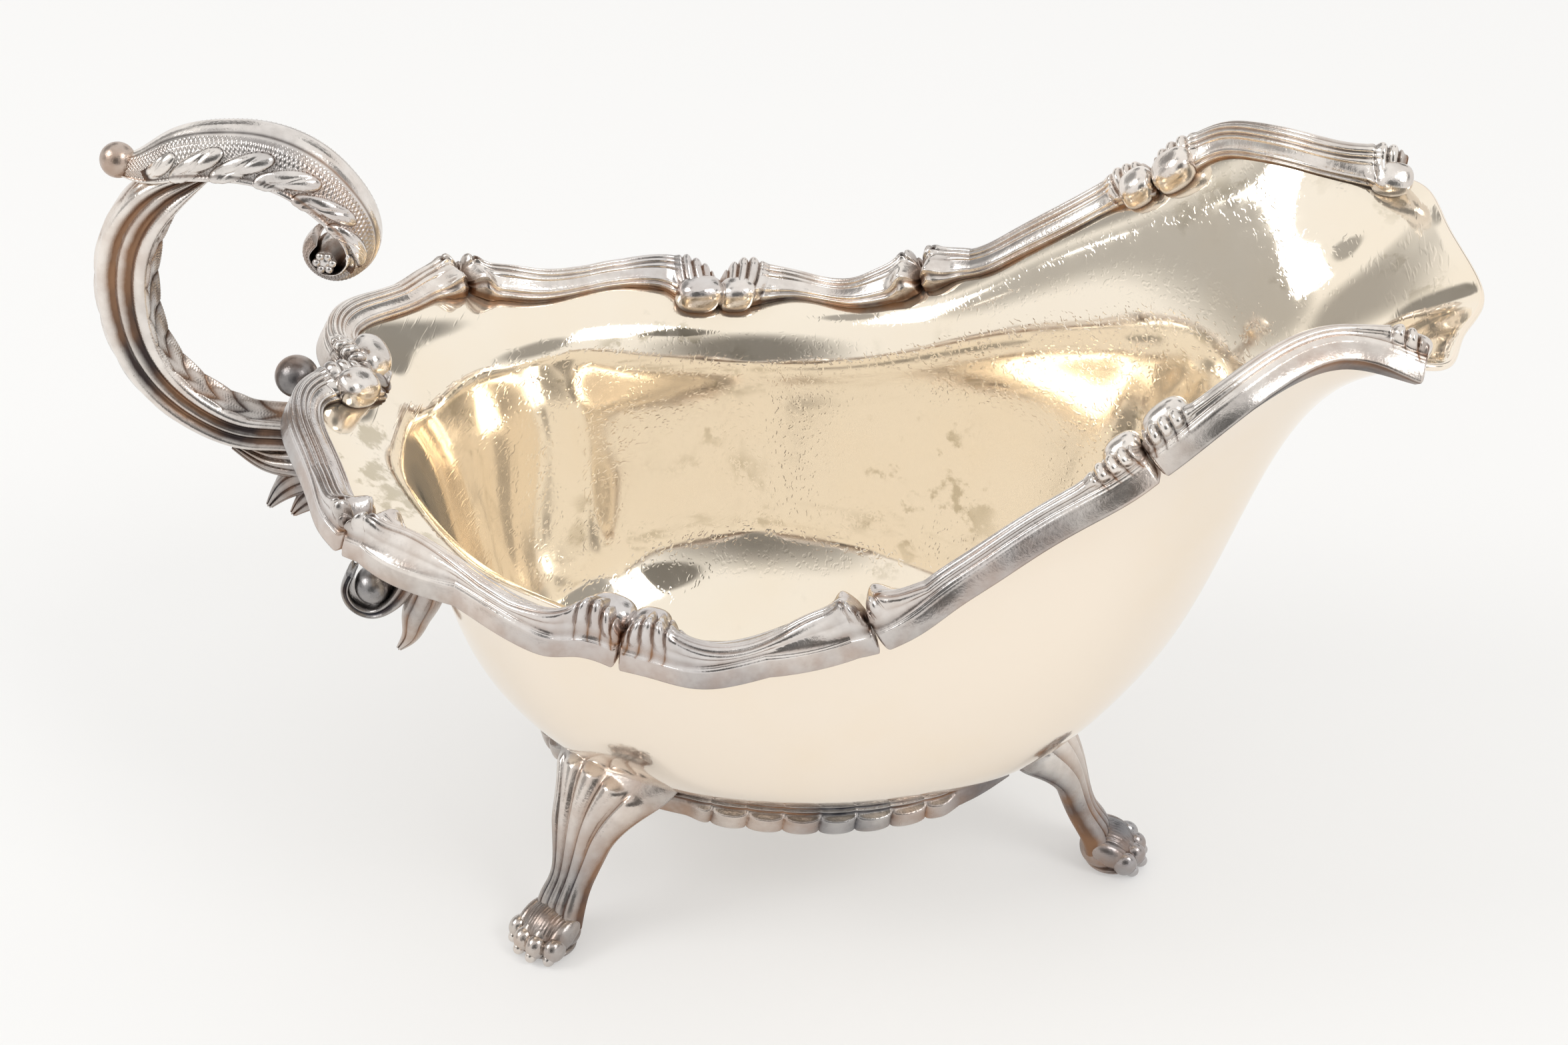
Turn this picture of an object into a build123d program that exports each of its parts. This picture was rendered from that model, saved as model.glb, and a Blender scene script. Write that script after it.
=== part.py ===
from build123d import *
import math
import os

# Silver-plated gravy boat on three paw feet, with a cast scroll rim and a flying C-scroll handle.
# +X points to the spout, +Z is up, y = 0 is the mirror plane, z = 0 is the table.

# ---- driving sizes, mm -------------------------------------------------------------------------
boat_length = 232.0        # handle back to spout tip
boat_width = 120.0         # over the widest rim scrolls
boat_height = 142.7        # table to the top of the handle
wall = 1.2                 # sheet thickness of the raised bowl
solder_gap = 0.12          # gap left between neighbouring rim castings
band_drop = 2.8            # how far the outer band of the rim hangs below the bowl edge
band_face = 1.7            # outer band face, measured outward from the bowl edge
crest_height = 4.0         # rim crest above the underside of the bowl edge
border_reach = 4.6         # inner foot of the rim moulding, measured inward from the bowl edge
bulb_radius = 3.1          # round bulb ending each scroll
knuckle_radius = 2.7       # ribbed shell beside each bulb
handle_width = 8.0
handle_depth = 8.6         # radial depth of the C-scroll at its back
stem_depth = 5.4           # depth where the stem reaches the bracket
leaf_width = 13.0
leaf_depth = 7.4
finial_radius = 3.0
bracket_ball = 3.8         # ball at the upper end of the bracket
bracket_eye = 2.8          # ball inside the lower curl of the bracket
leg_top_width = 25.0
ankle_width = 8.0
paw_width = 14.0
paw_height = 7.4
sole_depth = 0.9           # flat ground onto the bottom of each paw
apron_thickness = 2.0
apron_height = 6.4

NOMINAL = (232.0, 120.0, 142.7)
LAYOUT_FLOOR = 1.8         # the layout below counts its heights from this far under the table


def at(x, y, z):
    """A point of the nominal layout, stretched to the overall sizes."""
    return Vector(x * boat_length / NOMINAL[0], y * boat_width / NOMINAL[1],
                  (z - LAYOUT_FLOOR) * boat_height / NOMINAL[2])


# ---- bowl form: spokes from the flat bottom up to the rim edge ---------------------------------
# Each row: place along the rim (0 rear centre, 1..5 ends of the scrolls, 6 spout tip) and the
# points that steer one spoke: rim edge, flange, throat, upper wall, mid wall, low wall, bottom.
SPOKES = [
    (0.00, (-70, 0, 93.5), (-66.5, 0, 90.5), (-62.8, 0, 82), (-61, 0, 70),
     (-57.5, 0, 54), (-49, 0, 35), (-28, 0, 25)),
    (0.45, (-77, 14, 97), (-65, 12, 91), (-61, 11, 82), (-59, 10.5, 70),
     (-56, 10, 54), (-47.5, 8.5, 35), (-27, 5.4, 25)),
    (0.75, (-72, 27, 94.8), (-60.5, 22, 90.5), (-56.8, 20.5, 82), (-55, 20, 70),
     (-52, 18.6, 54), (-44, 15.5, 35), (-25, 9.6, 25)),
    (1.00, (-63, 40.5, 91.5), (-52.5, 32, 89.5), (-49, 29.5, 81), (-47.4, 28.6, 69),
     (-44.5, 26.8, 53.5), (-37.5, 22.2, 35), (-21, 13, 25)),
    (1.50, (-41, 49.5, 88.3), (-38, 43, 86.5), (-35.8, 39.5, 79), (-34.5, 38.2, 67),
     (-32.2, 35.6, 52), (-27, 28.8, 34.5), (-15.5, 16.2, 25)),
    (2.00, (-17, 55.5, 84), (-16.5, 50.5, 83.5), (-15.5, 46.5, 77), (-15, 45, 66),
     (-14, 41.8, 51.5), (-11.5, 33.8, 34.5), (-6, 18, 25)),
    (2.50, (1, 57.5, 84.6), (0, 52, 84.2), (0, 47.5, 77.5), (0, 46, 66),
     (0, 42.8, 51.5), (0.5, 34.8, 34.5), (3, 18.5, 25)),
    (3.00, (21.5, 55, 89.6), (20.5, 50, 88), (19.5, 45.5, 80.5), (19.3, 44, 67),
     (19, 41, 52), (17.5, 33.4, 34.5), (13.5, 18.2, 25)),
    (3.50, (44, 48.5, 104.2), (42.5, 44.5, 101.5), (40.5, 39.5, 91), (39.8, 37.8, 74),
     (38.8, 34.8, 56), (35, 28.4, 36), (25, 16.4, 25)),
    (4.00, (62.5, 44.3, 117), (60.5, 40, 113.5), (57.5, 34, 100), (56, 31.4, 79),
     (54, 28, 58), (48, 22, 37.5), (34, 13, 25)),
    (4.45, (77.5, 39.5, 128.3), (75.5, 34, 123), (71, 27, 106.5), (67.5, 24.2, 83),
     (64, 20.6, 60), (55, 15.5, 38.5), (39, 9, 25)),
    (4.75, (91.5, 31, 131), (88.5, 25, 123.5), (82, 18, 108), (75.5, 15.6, 85),
     (69.8, 12.8, 61.5), (59.2, 9.4, 39.5), (41.5, 5.6, 25)),
    (5.00, (103.5, 31, 129.3), (97.5, 20, 122), (88, 11.5, 110), (80, 9.2, 87),
     (73.4, 7.2, 63), (62, 5, 40), (43, 2.9, 25)),
    (5.50, (110.8, 18, 127.3), (102.5, 10, 120.5), (90.5, 5, 110.5), (81.6, 4.2, 87.5),
     (74.4, 3.2, 63.5), (62.8, 2.2, 40), (43.5, 1.3, 25)),
    (6.00, (115.4, 0, 125), (104.5, 0, 120), (91.5, 0, 110.5), (82, 0, 88),
     (75, 0, 63.5), (63, 0, 40), (43.7, 0, 25)),
]
SPOKE_COUNT = 73
SPOKE_POINTS = 25
SCROLL_SECTIONS = 13


def cubic(params, values, u):
    """Natural cubic spline through values at params, evaluated at u."""
    n = len(params)
    h = [params[i + 1] - params[i] for i in range(n - 1)]
    c, d = [0.0] * n, [0.0] * n
    for i in range(1, n - 1):
        a = h[i - 1]
        r = 6 * ((values[i + 1] - values[i]) / h[i] - (values[i] - values[i - 1]) / h[i - 1])
        den = 2 * (h[i - 1] + h[i]) - a * c[i - 1]
        c[i], d[i] = h[i] / den, (r - a * d[i - 1]) / den
    m = [0.0] * n
    for i in range(n - 2, 0, -1):
        m[i] = d[i] - c[i] * m[i + 1]
    k = max(i for i in range(n - 1) if params[i] <= u or i == 0)
    t, s = u - params[k], params[k + 1] - u
    return ((m[k] * s ** 3 + m[k + 1] * t ** 3) / (6 * h[k])
            + (values[k] / h[k] - m[k] * h[k] / 6) * s + (values[k + 1] / h[k] - m[k + 1] * h[k] / 6) * t)


def ring_point(level, u):
    """Steering point of one level at place u, kept symmetric across y = 0 at both ends."""
    rows = [(row[0], row[level + 1]) for row in SPOKES]
    head = [(-p, (q[0], -q[1], q[2])) for p, q in rows[3:0:-1]]
    tail = [(2 * rows[-1][0] - p, (q[0], -q[1], q[2])) for p, q in rows[-2:-5:-1]]
    rows = head + rows + tail
    return at(*[cubic([p for p, q in rows], [q[i] for p, q in rows], u) for i in range(3)])


def spoke_point(steer, v):
    """Clamped cubic B-spline steered by the given points, v from 0 to 1."""
    n = len(steer)
    knots = [0.0] * 3 + [i / (n - 3) for i in range(n - 2)] + [1.0] * 3
    k = min(int(v * (n - 3)), n - 4) + 3
    pts = [steer[k - 3 + i] for i in range(4)]
    for r in range(1, 4):
        for j in range(3, r - 1, -1):
            lo, hi = knots[j + k - 3], knots[j + 1 + k - r]
            a = (v - lo) / (hi - lo)
            pts[j] = pts[j - 1] * (1 - a) + pts[j] * a
    return pts[3]


def spoke(u):
    rings = [ring_point(level, u) for level in range(6, -1, -1)]
    rings.insert(0, rings[0] * 0.6 + at(8, 0, 25) * 0.4)
    return [spoke_point(rings, j / (SPOKE_POINTS - 1)) for j in range(SPOKE_POINTS)]


outside = [spoke(6 * i / (SPOKE_COUNT - 1)) for i in range(SPOKE_COUNT)]


def wall_normal(i, j):
    """Unit normal of the form at a grid point, pointing into the bowl."""
    across = outside[min(i + 1, SPOKE_COUNT - 1)][j] - outside[max(i - 1, 0)][j]
    along = outside[i][min(j + 1, SPOKE_POINTS - 1)] - outside[i][max(j - 1, 0)]
    if i in (0, SPOKE_COUNT - 1):
        across = Vector(0, 1 if i == 0 else -1, 0)
    if j == 0:
        return Vector(0, 0, 1)
    return across.cross(along).normalized()


inside = [[outside[i][j] + wall_normal(i, j) * wall for j in range(SPOKE_POINTS)] for i in range(SPOKE_COUNT)]


def form_face(grid):
    return Face.make_surface_from_array_of_points(grid, min_deg=3, max_deg=3)


def end_edge(face, point):
    """The edge of a form face passing closest to a point."""
    return min(face.edges(), key=lambda e: e.distance_to(point))


middle = SPOKE_COUNT // 2
outer_half, inner_half = form_face(outside), form_face(inside)
rim_edges = [end_edge(f, g[middle][-1]) for f, g in ((outer_half, outside), (inner_half, inside))]
foot_edges = [end_edge(f, g[middle][0]) for f, g in ((outer_half, outside), (inner_half, inside))]
rim_half = Face.make_surface_from_curves(rim_edges[0], rim_edges[1])
halves = [outer_half, inner_half, rim_half]
discs = [Face(Wire([e, e.mirror(Plane.XZ)])) for e in foot_edges]

with BuildPart() as body_shell:
    add(Solid(Shell(halves + [f.mirror(Plane.XZ) for f in halves] + discs)))
body_shell.part.label = "body_shell"


# ---- rim castings: five scrolls on each side, soldered onto the flange --------------------------
def rim_frame(u):
    """Plane at place u of the rim edge: x outward along the flange, y up off it, z along the rim."""
    step = 0.01
    edge, lower, upper = ring_point(0, u), ring_point(0, u - step), ring_point(0, u + step)
    run = (upper - lower).normalized()
    outward = edge - ring_point(1, u)
    outward = (outward - run * outward.dot(run)).normalized()
    return Plane(origin=edge, x_dir=outward, z_dir=run)


def rim_shift(u, distance):
    """Place found by going a distance along the rim edge from place u."""
    speed = (ring_point(0, u + 0.01) - ring_point(0, u - 0.01)).length / 0.02
    return u + distance / speed


crest = crest_height
border_outline = [
    (band_face, -band_drop), (band_face, crest - 1.7), (band_face - 0.9, crest - 0.4), (-0.4, crest),
    (-2.1, crest - 0.6), (-3.5, crest - 1.7), (-border_reach, wall), (-border_reach, wall / 2),
    (0.5, wall / 2), (0.5, -band_drop),
]
SCROLLS = ["rim_rear", "rim_quarter", "rim_waist", "rim_rise", "rim_spout"]
scroll_parts = {}
for number, name in enumerate(SCROLLS):
    start, end = rim_shift(number, solder_gap / 2), rim_shift(number + 1, -solder_gap / 2)
    with BuildPart() as scroll:
        for i in range(SCROLL_SECTIONS):
            with BuildSketch(rim_frame(start + (end - start) * i / (SCROLL_SECTIONS - 1))):
                Polygon(*border_outline, align=None)
        loft()
        for base, inward in ((number, 1), (number + 1, -1)):
            bulb = rim_frame(rim_shift(base, inward * (bulb_radius + 7 * solder_gap)))
            knuckle = rim_frame(rim_shift(base, inward * (knuckle_radius + 4 * solder_gap)))
            with Locations(bulb * Location((-3.3, crest - 1.6, 0))):
                Sphere(bulb_radius)
            with Locations(knuckle * Location((0.2, crest - knuckle_radius + 0.6, 0))):
                Sphere(knuckle_radius)
        add(body_shell.part, mode=Mode.SUBTRACT)
    left = scroll.part.solids().sort_by(SortBy.VOLUME)[-1]
    scroll_parts[name + "_left"] = left
    scroll_parts[name + "_right"] = left.mirror(Plane.XZ)

# ---- handle: C-scroll, leaf over the top, bracket, calyx and leaf drop, all on y = 0 ------------

def swept(points, widths, depths):
    """Loft of ellipses square to a curve in the y = 0 plane; width is along Y."""
    with BuildPart() as bar:
        with BuildLine() as line:
            Spline(*[at(x, 0, z) for x, z in points])
        path = line.line
        count = 3 * len(widths)
        for i in range(count + 1):
            t = i / count
            k = min(int(t * (len(widths) - 1)), len(widths) - 2)
            f = t * (len(widths) - 1) - k
            width = widths[k] * (1 - f) + widths[k + 1] * f
            depth = depths[k] * (1 - f) + depths[k + 1] * f
            with BuildSketch(Plane(origin=path @ t, x_dir=(0, 1, 0), z_dir=path % t)):
                Ellipse(width / 2, depth / 2)
        loft()
    return bar.part


C_PATH = [(-72, 80), (-78, 84), (-85, 85.8), (-92, 85.7), (-98.8, 88), (-104.7, 92.8), (-109.2, 99.5),
          (-111.2, 108), (-110.6, 117), (-107.4, 125.5), (-101, 132.5), (-93, 136)]
BRACKET_PATH = [(-82.6, 95.2), (-79, 93.2), (-73.5, 88.8), (-67, 81.5), (-63.6, 72), (-63.6, 62.5),
                (-65.6, 56), (-69.2, 50), (-73.2, 47.6), (-76.8, 49.4), (-77.4, 52.6), (-75.2, 54.8)]
LEAF_PATH = [(-108, 136), (-101.5, 138.2), (-93, 140.8), (-84, 140.9), (-76, 137.6), (-70.4, 131),
             (-68.4, 124.5), (-71.4, 119.6), (-76, 119.8)]
with BuildPart() as handle_leaf:
    add(swept(LEAF_PATH, [5, leaf_width, leaf_width, leaf_width, 9, 7],
              [3.4, 5, leaf_depth, leaf_depth, 5.4, 5]))
    with Locations(at(-109.6, 0, 136.4)):
        Sphere(finial_radius)
    with Locations(at(-75.6, 0, 121.4)):
        Cylinder(3.9, 8, rotation=(90, 0, 0))

with BuildPart() as handle_bracket:
    add(swept(BRACKET_PATH, [3.4, 4.8, 5.8, 6.2, 6.2, 6.2, 6, 5.4, 4.6], [3, 3.6, 4.6, 5, 5, 4.2, 3, 2.2, 2]))
    with Locations(at(-82.3, 0, 96)):
        Sphere(bracket_ball)
    with Locations(at(-73.2, 0, 51.9)):
        Sphere(bracket_eye)
    for neighbour in (body_shell.part, scroll_parts["rim_rear_left"], scroll_parts["rim_rear_right"]):
        add(neighbour, mode=Mode.SUBTRACT)
bracket = handle_bracket.part.solids().sort_by(SortBy.VOLUME)[-1]

with BuildPart() as handle_scroll:
    add(swept(C_PATH, [handle_width - 1, handle_width, handle_width, handle_width, handle_width, handle_width],
              [stem_depth, stem_depth, stem_depth + 1.6, handle_depth, handle_depth, 5]))
    add(handle_leaf.part, mode=Mode.SUBTRACT)
    add(bracket, mode=Mode.SUBTRACT)
    add(body_shell.part, mode=Mode.SUBTRACT)

with BuildPart() as handle_calyx:
    add(swept([(-66.5, 77.6), (-73, 78.4), (-81, 77.4), (-87, 74.8), (-90.2, 70.6)],
              [7, 9.4, 10, 8.4, 2.6], [6, 8.4, 9, 7.2, 2.4]))
    add(handle_scroll.part, mode=Mode.SUBTRACT)
    add(bracket, mode=Mode.SUBTRACT)

with BuildPart() as leaf_drop:
    add(swept([(-64.4, 57), (-63.6, 51.5), (-65.2, 46), (-68.4, 39.5)],
              [5.4, 6.8, 5.2, 1.8], [3.2, 4.4, 3.8, 1.6]))
    add(bracket, mode=Mode.SUBTRACT)


# ---- feet: three cabriole legs ending in paws, joined by apron strips ---------------------------
def leg(foot, heading):
    """Leg with its sole centre at foot, pointing outward along heading (degrees from +X)."""
    out = Vector(1, 0, 0).rotate(Axis.Z, heading)
    side = Vector(0, 1, 0).rotate(Axis.Z, heading)
    sole = at(*foot, LAYOUT_FLOOR)
    tall = boat_height / NOMINAL[2]
    # station: distance back from the sole centre, height, width, thickness, lean of the section
    stations = [(19.5, 36.7, leg_top_width, 3, 40), (16.3, 33.2, leg_top_width, 4.4, 42),
                (12.6, 28.2, leg_top_width - 3, 5.4, 50), (9.8, 22.4, 16.4, 5.8, 60),
                (7.8, 15.8, 11.4, 5.6, 72), (5.8, 9.8, ankle_width, 5.4, 66),
                (2.6, 5.6, ankle_width + 1, 5.8, 30)]
    with BuildPart() as limb:
        for back, height, width, thick, lean in stations:
            down = out * math.cos(math.radians(lean)) + Vector(0, 0, -1) * math.sin(math.radians(lean))
            centre = sole - out * back + Vector(0, 0, height * tall)
            with BuildSketch(Plane(origin=centre, x_dir=side, z_dir=down)):
                Ellipse(width / 2, thick / 2)
        loft()
        with Locations(Plane(origin=sole + Vector(0, 0, paw_height / 2 - sole_depth), x_dir=out)):
            with Locations((-0.4, -paw_width / 7, 0), (-0.4, paw_width / 7, 0)):
                Sphere(paw_height / 2)
            for toe in (-1.5, -0.5, 0.5, 1.5):
                with Locations((4.2 - 0.6 * toe ** 2, toe * paw_width / 4.9, -0.4)):
                    Sphere(paw_height / 2 - 1.1)
        split(bisect_by=Plane.XY, keep=Keep.TOP)
        add(body_shell.part, mode=Mode.SUBTRACT)
    return limb.part.solids().sort_by(Axis.Z)[0]


leg_front = leg((62.5, 0), 0)
leg_rear_left = leg((-36, 34.8), 128)
leg_rear_right = leg_rear_left.mirror(Plane.XZ)

APRONS = {
    "apron_left": [(-26, 24.5, 31.5), (-17.5, 26.6, 30.8), (-8, 27.9, 30.2), (1.4, 28, 29.6), (10, 27.4, 29.3),
                   (20, 25, 29), (30, 21, 29.2), (37, 17.4, 30.3), (43, 12.5, 32)],
    "apron_rear": [(-33.5, 17.5, 30.2), (-39.4, 9.5, 30), (-41.2, 0, 29.9), (-39.4, -9.5, 30),
                   (-33.5, -17.5, 30.2)],
}
apron_parts = {}
for name, points in APRONS.items():
    with BuildPart() as strip:
        with BuildLine() as line:
            Spline(*[at(*p) for p in points])
        path = line.line
        for i in range(11):
            with BuildSketch(Plane(origin=path @ (i / 10), x_dir=(0, 0, 1), z_dir=path % (i / 10))):
                RectangleRounded(apron_height, apron_thickness, 0.6)
        loft()
        for foot in (leg_front, leg_rear_left, leg_rear_right, body_shell.part):
            add(foot, mode=Mode.SUBTRACT)
    apron_parts[name] = strip.part.solids().sort_by(Axis.Z)[0]
apron_parts["apron_right"] = apron_parts["apron_left"].mirror(Plane.XZ)

# ---- one STEP file per piece --------------------------------------------------------------------
pieces = {"body_shell": body_shell.part, **scroll_parts, "handle_scroll": handle_scroll.part,
          "handle_leaf": handle_leaf.part, "handle_bracket": bracket,
          "handle_calyx": handle_calyx.part, "leaf_drop": leaf_drop.part, "leg_front": leg_front,
          "leg_rear_left": leg_rear_left, "leg_rear_right": leg_rear_right, **apron_parts}
os.makedirs("parts", exist_ok=True)
for name, piece in pieces.items():
    piece.label = name
    export_step(piece, "parts/" + name + ".step")
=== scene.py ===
import math
import bpy
import numpy as np
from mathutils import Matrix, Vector


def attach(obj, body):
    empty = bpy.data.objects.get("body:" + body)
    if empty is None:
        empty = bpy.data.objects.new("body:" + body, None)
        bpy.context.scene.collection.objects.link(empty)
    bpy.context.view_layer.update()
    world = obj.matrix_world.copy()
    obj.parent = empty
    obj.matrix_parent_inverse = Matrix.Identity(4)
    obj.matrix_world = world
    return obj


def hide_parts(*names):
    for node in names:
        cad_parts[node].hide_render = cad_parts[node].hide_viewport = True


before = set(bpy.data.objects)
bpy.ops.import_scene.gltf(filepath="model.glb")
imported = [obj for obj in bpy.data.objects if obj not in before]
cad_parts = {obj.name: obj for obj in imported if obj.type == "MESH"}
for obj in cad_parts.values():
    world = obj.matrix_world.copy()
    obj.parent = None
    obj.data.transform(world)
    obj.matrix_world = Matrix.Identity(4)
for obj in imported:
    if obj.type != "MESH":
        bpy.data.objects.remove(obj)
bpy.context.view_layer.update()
MM = 0.001
FLOOR = 1.8                             # the layout counts its heights from this far under the table, mm
WALL = 1.2                              # sheet of the bowl, mm
FLOOR_SIZE = 6                          # side of the pale floor, m
FLOOR_COLOUR, FLOOR_GLOW, FLOOR_GLOW_STRENGTH = (0.55, 0.547, 0.54, 1), (1, 0.995, 0.985, 1), 0.37
ROOM_COLOUR = (0.98, 0.975, 0.965)
LAMP_POWER = 3.5                        # W
LAMP_AIM = (0, 0, 0.08)                 # middle of the boat, m
CAMERA_AZIMUTH, CAMERA_ELEVATION = 6.709734, 34         # degrees
CAMERA_PLACE = (0.0539389, -0.4413426, 0.3720985 - FLOOR * MM)
CAMERA_LENS, CAMERA_SENSOR = 70.5, 36   # mm
REED_FROM, REED_PITCH = 0.16, 0.112     # reeds of the border, as shares of its outline
KNUCKLE_PITCH = 2.15                    # mm along the border
LEAFLET_PITCH = 8.2                     # mm along the handle leaf
LEAF_FOOT = 0.33                        # share of the leaf outline where the leaflets start
scene = bpy.context.scene


# ---------------------------------------------------------------- helpers
def norm(a):
    return a / np.maximum(np.linalg.norm(a, axis=-1, keepdims=True), 1e-9)


def mesh_object(name, verts, faces, mats, tags=None, mat_index=None):
    """Smooth mesh from layout points in mm; tags are values per vertex, for the materials."""
    me = bpy.data.meshes.new(name)
    me.from_pydata(((np.asarray(verts) - [0, 0, FLOOR]) * MM).tolist(), [], faces)
    for m in mats:
        me.materials.append(m)
    me.polygons.foreach_set("use_smooth", [True] * len(me.polygons))
    if mat_index is not None:
        me.polygons.foreach_set("material_index", mat_index)
    for key, val in (tags or {}).items():
        a = me.attributes.new(key, "FLOAT", "POINT")
        a.data.foreach_set("value", np.asarray(val, dtype=np.float32).ravel())
    me.validate()
    me.update()
    ob = bpy.data.objects.new(name, me)
    scene.collection.objects.link(ob)
    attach(ob, "root")
    return ob


def grid_faces(nu, nv, close_u=False, close_v=False, flip=False, base=0):
    """Quads of a grid of nu rows and nv columns, numbered from base."""
    iu = np.arange(nu if close_u else nu - 1)
    iv = np.arange(nv if close_v else nv - 1)
    a, b = np.meshgrid(iu, iv, indexing="ij")
    a2, b2 = (a + 1) % nu, (b + 1) % nv
    q = np.stack([a * nv + b, a2 * nv + b, a2 * nv + b2, a * nv + b2], -1).reshape(-1, 4) + base
    return q[:, ::-1].tolist() if flip else q.tolist()


class Soup:
    """Collects grids of one piece, then makes one object of them."""

    def __init__(self):
        self.v, self.f, self.t, self.n = [], [], [], 0

    def grid(self, P, close_u=False, close_v=False, flip=False, tarnish_and_shade=0.0, caps=(False, False)):
        nu, nv = P.shape[:2]
        self.f += grid_faces(nu, nv, close_u, close_v, flip, self.n)
        self.v.append(P.reshape(-1, 3))
        tt = np.broadcast_to(np.asarray(tarnish_and_shade, float), (nu, nv)) if np.ndim(tarnish_and_shade) < 2 else tarnish_and_shade
        self.t.append(tt.reshape(-1))
        base, self.n = self.n, self.n + nu * nv
        for which, row in ((0, 0), (1, nu - 1)):
            if caps[which]:
                c = P[row].mean(0)
                self.v.append(c[None])
                self.t.append(np.array([tt[row].mean()]))
                ring = base + row * nv + np.arange(nv)
                nxt = np.roll(ring, -1)
                first, second = (ring, nxt) if (which == 1) != flip else (nxt, ring)
                self.f += [[int(a), int(b), self.n] for a, b in zip(first, second)]
                self.n += 1

    def build(self, name, mat):
        return mesh_object(name, np.concatenate(self.v), self.f, [mat], {"tarnish_and_shade": np.concatenate(self.t)})

    def mirrored(self):
        other = Soup()
        other.v = [v * [1, -1, 1] for v in self.v]
        other.f = [f[::-1] for f in self.f]
        other.t, other.n = self.t, self.n
        return other


def natural(params, values, u):
    """Natural cubic spline; values (n, k), u (m,)."""
    x, y = np.asarray(params, float), np.asarray(values, float)
    n, h = len(x), np.diff(params)
    A, r = np.eye(n), np.zeros_like(y)
    for i in range(1, n - 1):
        A[i, i - 1:i + 2] = h[i - 1], 2 * (h[i - 1] + h[i]), h[i]
        r[i] = 6 * ((y[i + 1] - y[i]) / h[i] - (y[i] - y[i - 1]) / h[i - 1])
    m = np.linalg.solve(A, r)
    u = np.asarray(u, float)
    k = np.clip(np.searchsorted(x, u, side="right") - 1, 0, n - 2)
    t, s, hk = (u - x[k])[:, None], (x[k + 1] - u)[:, None], h[k][:, None]
    bend = (m[k] * s ** 3 + m[k + 1] * t ** 3) / (6 * hk)
    return bend + (y[k] / hk - m[k] * hk / 6) * s + (y[k + 1] / hk - m[k + 1] * hk / 6) * t


def curve(points, n):
    """Natural spline through points, by chord length, n samples evenly along it."""
    p = np.asarray(points, float)
    d = np.r_[0, np.cumsum(np.linalg.norm(np.diff(p, axis=0), axis=1))]
    fine = natural(d, p, np.linspace(0, d[-1], 40 * len(p)))
    s = np.r_[0, np.cumsum(np.linalg.norm(np.diff(fine, axis=0), axis=1))]
    at = np.linspace(0, s[-1], n) if np.isscalar(n) else np.asarray(n) * s[-1]
    return np.stack([np.interp(at, s, fine[:, i]) for i in range(p.shape[1])], 1)


def bspline(ctrl, v):
    """Clamped cubic B-spline; ctrl (..., n, 3), v (m,) -> (..., m, 3)."""
    n = ctrl.shape[-2]
    knots = np.r_[[0] * 3, np.linspace(0, 1, n - 2), [1] * 3]
    v = np.clip(v, 0, 1 - 1e-9)
    B = ((knots[:-1] <= v[:, None]) & (v[:, None] < knots[1:])).astype(float)
    for d in range(1, 4):
        nb = np.zeros((len(v), B.shape[1] - 1))
        for i in range(B.shape[1] - 1):
            a, b = knots[i + d] - knots[i], knots[i + d + 1] - knots[i + 1]
            rising = ((v - knots[i]) / a * B[:, i]) if a > 0 else 0
            falling = ((knots[i + d + 1] - v) / b * B[:, i + 1]) if b > 0 else 0
            nb[:, i] = rising + falling
        B = nb
    return np.einsum("mn,...nk->...mk", B, ctrl)


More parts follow.
